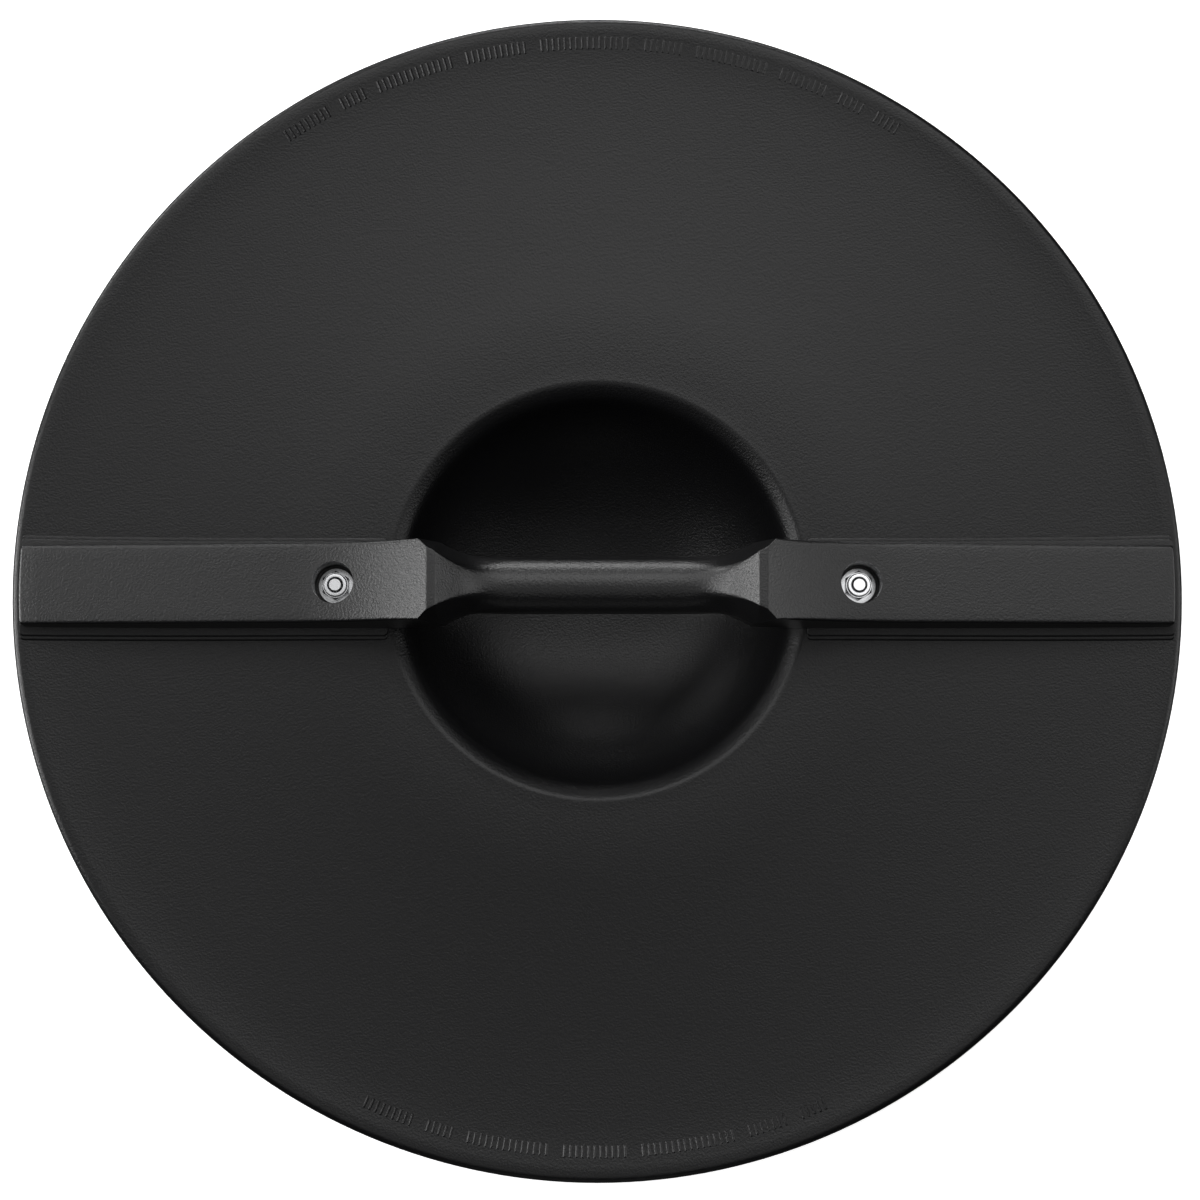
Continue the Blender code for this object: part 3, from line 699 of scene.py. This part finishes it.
# Zinc plating on steel: a bright, slightly milky metal, with the fine scuffs of barrel plating
SCUFF_SIZE = 0.5 * MM
SCUFF_DEPTH = 0.02 * MM
plated_steel, steel_shader = new_material(
    "zinc-plated steel, bright", "#f2f3f5", 0.24, Metallic=1.0
)
scuff_bump = add(
    plated_steel,
    "ShaderNodeBump",
    {"Strength": 0.15, "Distance": SCUFF_DEPTH},
    {"Height": (noise(plated_steel, SCUFF_SIZE, 4.0), "Fac")},
)
plated_steel.node_tree.links.new(scuff_bump.outputs["Normal"], steel_shader.inputs["Normal"])


FASTENER_SHARP_ANGLE = math.radians(30)


def place_fastener(name, solid, side):
    """Stands a piece turned about Z on its bolt's axis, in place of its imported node."""
    x = BOLT_OFFSET if side == "right" else -BOLT_OFFSET
    bmesh.ops.translate(solid, verts=solid.verts, vec=(x, 0, 0))
    piece = finished(f"{name}_{side}_dressed", solid, plated_steel, FASTENER_SHARP_ANGLE)
    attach(piece, "root")
    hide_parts(f"{name}_{side}")


under_head = bolt_seat_face - FIT_GAP
bolt_outline = [(0, BOLT_END), (BOLT_RADIUS - BOLT_END_CHAMFER, BOLT_END)]
# A turn of the thread has a flat crest for its first fifth, and its root at three fifths
for turn in range(THREAD_TURNS):
    crest = BOLT_END - BOLT_END_CHAMFER - turn * THREAD_PITCH
    bolt_outline.append((BOLT_RADIUS, crest))
    bolt_outline.append((BOLT_RADIUS, crest - 0.2 * THREAD_PITCH))
    bolt_outline.append((BOLT_RADIUS - THREAD_DEPTH, crest - 0.6 * THREAD_PITCH))
bolt_outline += [(BOLT_RADIUS, bolt_outline[-1][1] - THREAD_PITCH), (BOLT_RADIUS, under_head)]
bolt_outline.append((BOLT_HEAD_RADIUS - BOLT_HEAD_BREAK, under_head))
bolt_outline.append((BOLT_HEAD_RADIUS, under_head - BOLT_HEAD_BREAK))
dome_height = BOLT_HEAD_HEIGHT - BOLT_HEAD_RIM
dome_radius = (BOLT_HEAD_RADIUS**2 + dome_height**2) / (2 * dome_height)
for i in range(DOME_STEPS):
    lean = math.asin(BOLT_HEAD_RADIUS / dome_radius) * (1 - i / DOME_STEPS)
    height = under_head - BOLT_HEAD_HEIGHT + dome_radius * (1 - math.cos(lean))
    bolt_outline.append((dome_radius * math.sin(lean), height))
bolt_outline.append((0, under_head - BOLT_HEAD_HEIGHT))
for side in ("left", "right"):
    place_fastener("bolt", spun(bolt_outline, ROUND_STEPS), side)


# Washers: flat rings at the bottom of the counterbores, under the nuts. They are stamped from
# plated sheet, so the upper edge is drawn in softly and the lower one is crisp.
WASHER_RADIUS = 8 * MM
WASHER_DRAW = 0.5 * MM
WASHER_DRAW_STEPS = 5
WASHER_BREAK = 0.3 * MM
washer_base = WASHER_TOP - WASHER_THICKNESS
washer_outline = [(BOLT_HOLE_RADIUS, WASHER_TOP - WASHER_BREAK)]
washer_outline.append((BOLT_HOLE_RADIUS + WASHER_BREAK, WASHER_TOP))
for i in range(WASHER_DRAW_STEPS + 1):
    turn = math.pi / 2 * i / WASHER_DRAW_STEPS
    radius = WASHER_RADIUS - WASHER_DRAW * (1 - math.sin(turn))
    washer_outline.append((radius, WASHER_TOP - WASHER_DRAW * (1 - math.cos(turn))))
washer_outline += [(WASHER_RADIUS, washer_base), (BOLT_HOLE_RADIUS, washer_base)]
washer_outline.append(washer_outline[0])
for side in ("left", "right"):
    place_fastener("washer", spun(washer_outline, ROUND_STEPS), side)


# Lock nuts: hexagons of plated steel with chamfered corners, and a collar rolled in at the top,
# which grips the bolt's thread
NUT_APOTHEM = 5.5 * MM
NUT_CORNER_RADIUS = NUT_APOTHEM / math.cos(math.pi / 6)
NUT_CHAMFER = 0.55 * MM
NUT_BORE_RADIUS = BOLT_RADIUS + FIT_GAP
COLLAR_RADIUS = 5 * MM
COLLAR_ROUNDING = 0.45 * MM
COLLAR_STEPS = 8
NUT_BREAK = 0.15 * MM
NUT_STEPS = 96
# The chamfer cuts a little into the flats as well
chamfer_run = (NUT_CORNER_RADIUS - NUT_APOTHEM) * 1.1
chamfer = [(NUT_CORNER_RADIUS - chamfer_run * i / 5, NUT_CHAMFER * i / 5) for i in range(6)]
nut_outline = [(NUT_BORE_RADIUS, NUT_BASE)]
nut_outline += [(radius, NUT_BASE + NUT_CHAMFER - up) for radius, up in reversed(chamfer)]
nut_outline += [(radius, NUT_HEX_TOP - NUT_CHAMFER + up) for radius, up in chamfer]
nut_outline.append((COLLAR_RADIUS + NUT_BREAK, NUT_HEX_TOP))
nut_outline.append((COLLAR_RADIUS, NUT_HEX_TOP + NUT_BREAK))
for i in range(COLLAR_STEPS + 1):
    turn = math.pi / 2 * i / COLLAR_STEPS
    radius = COLLAR_RADIUS - COLLAR_ROUNDING * (1 - math.cos(turn))
    nut_outline.append((radius, NUT_TOP - COLLAR_ROUNDING * (1 - math.sin(turn))))
nut_outline.append((NUT_BORE_RADIUS + NUT_BREAK, NUT_TOP))
nut_outline.append((NUT_BORE_RADIUS, NUT_TOP - 2 * NUT_BREAK))
nut_outline.append(nut_outline[0])
for side in ("left", "right"):
    nut = spun(nut_outline, NUT_STEPS)
    # The turned blank's flats: what stands past one is brought in to it
    for point in nut.verts:
        radius = math.hypot(point.co.x, point.co.y)
        from_flat = (math.atan2(point.co.y, point.co.x) + math.pi / 6) % (math.pi / 3) - math.pi / 6
        limit = NUT_APOTHEM / math.cos(from_flat)
        if radius > limit:
            point.co.x *= limit / radius
            point.co.y *= limit / radius
    bmesh.ops.remove_doubles(nut, verts=nut.verts, dist=0.005 * MM)
    place_fastener("lock_nut", nut, side)


# Floor: a pale matt sheet under the shield, as on a studio table. It glows faintly, so that it
# stays even and white, and the glossy plastic doesn't mirror it.
FLOOR_SIZE = 6
FLOOR_GAP = 0.2 * MM
floor_material, floor_shader = new_material("pale floor", "#f2f2f2", 0.9)
floor_shader.inputs["Emission Color"].default_value = linear("#ffffff")
floor_shader.inputs["Emission Strength"].default_value = 0.7
sheet = bmesh.new()
bmesh.ops.create_grid(sheet, x_segments=1, y_segments=1, size=FLOOR_SIZE / 2)
bmesh.ops.translate(sheet, verts=sheet.verts, vec=(0, 0, -FLOOR_GAP))
floor = finished("floor", sheet, floor_material)
floor.visible_glossy = False

# Studio light: soft boxes in walls round the shield, strong at the picture's left, upper left and
# top, weak at its right and foot, and faint overhead. A row gives a box's azimuth (0 is +X, 90 is
# +Y), its elevation, its width and height in metres, and its watts.
SOFT_BOXES = (
    (180, 5, 0.8, 0.6, 17.8),
    (180, 34, 0.8, 0.4, 9.4),
    (180, 62, 1, 0.6, 1.9),
    (0, 5, 0.8, 0.6, 3.2),
    (0, 22, 0.8, 0.6, 3.2),
    (0, 42, 0.8, 0.6, 2),
    (0, 62, 1, 0.6, 0.7),
    (0, 77, 0.7, 0.7, 1),
    (90, 3, 0.8, 0.5, 11),
    (90, 22, 0.8, 0.4, 1.6),
    (90, 52, 1, 0.5, 2.6),
    (90, 62, 1.2, 0.8, 5),
    (90, 79, 0.8, 0.6, 0.9),
    (135, 5, 0.8, 0.6, 10),
    (135, 42, 0.8, 0.6, 4.4),
    (45, 42, 0.8, 0.6, 3.6),
    (45, 62, 1.1, 0.8, 0.9),
    (270, 5, 0.8, 0.6, 0.5),
    (270, 62, 1.1, 0.8, 1.7),
)
BOX_DISTANCE = 1.6
for azimuth, elevation, width, height, watts in SOFT_BOXES:
    data = bpy.data.lights.new(f"soft box {azimuth} {elevation}", "AREA")
    data.shape = "RECTANGLE"
    data.size, data.size_y = width, height
    data.energy = watts
    lamp = bpy.data.objects.new(data.name, data)
    bpy.context.scene.collection.objects.link(lamp)
    turn, lift = math.radians(azimuth), math.radians(elevation)
    across = math.cos(lift)
    away = Vector((math.cos(turn) * across, math.sin(turn) * across, math.sin(lift)))
    lamp.location = Vector((0, 0, lip_height)) + away * BOX_DISTANCE
    lamp.rotation_euler = away.to_track_quat("Z", "Y").to_euler()
    lamp.visible_camera = False

# The room beyond is white to the eye, and almost dark as a light, so that only the boxes shape
# the plastic
ROOM_LIGHT = 0.02
world = bpy.data.worlds.new("studio")
bpy.context.scene.world = world
world.use_nodes = True
background = world.node_tree.nodes["Background"]
background.inputs["Color"].default_value = linear("#ffffff")
path = add(world, "ShaderNodeLightPath")
strength = add(
    world, "ShaderNodeMapRange", {"To Min": ROOM_LIGHT}, {"Value": (path, "Is Camera Ray")}
)
world.node_tree.links.new(strength.outputs["Result"], background.inputs["Strength"])
bpy.context.scene.view_settings.view_transform = "Standard"

# Camera: 1.1 m from the rim's plane, over the shield's back, and tilted 5.75 degrees towards the
# lower edge of the picture. One pixel of the picture covers 0.4344 mm at the rim.
CAMERA_TILT = math.radians(5.75)
CAMERA_DISTANCE = 1.1
FRAME_PIXELS = 1200
PIXEL_AT_RIM = 0.4344 * MM
AIM = Vector((1.21 * MM, -5.2 * MM, rim_height))
camera_data = bpy.data.cameras.new("camera")
camera_data.lens = camera_data.sensor_width * CAMERA_DISTANCE / (FRAME_PIXELS * PIXEL_AT_RIM)
camera = bpy.data.objects.new("camera", camera_data)
bpy.context.scene.collection.objects.link(camera)
camera.rotation_euler = (CAMERA_TILT, 0, 0)
camera.location = AIM + Vector((0, -math.sin(CAMERA_TILT), math.cos(CAMERA_TILT))) * CAMERA_DISTANCE
bpy.context.scene.camera = camera
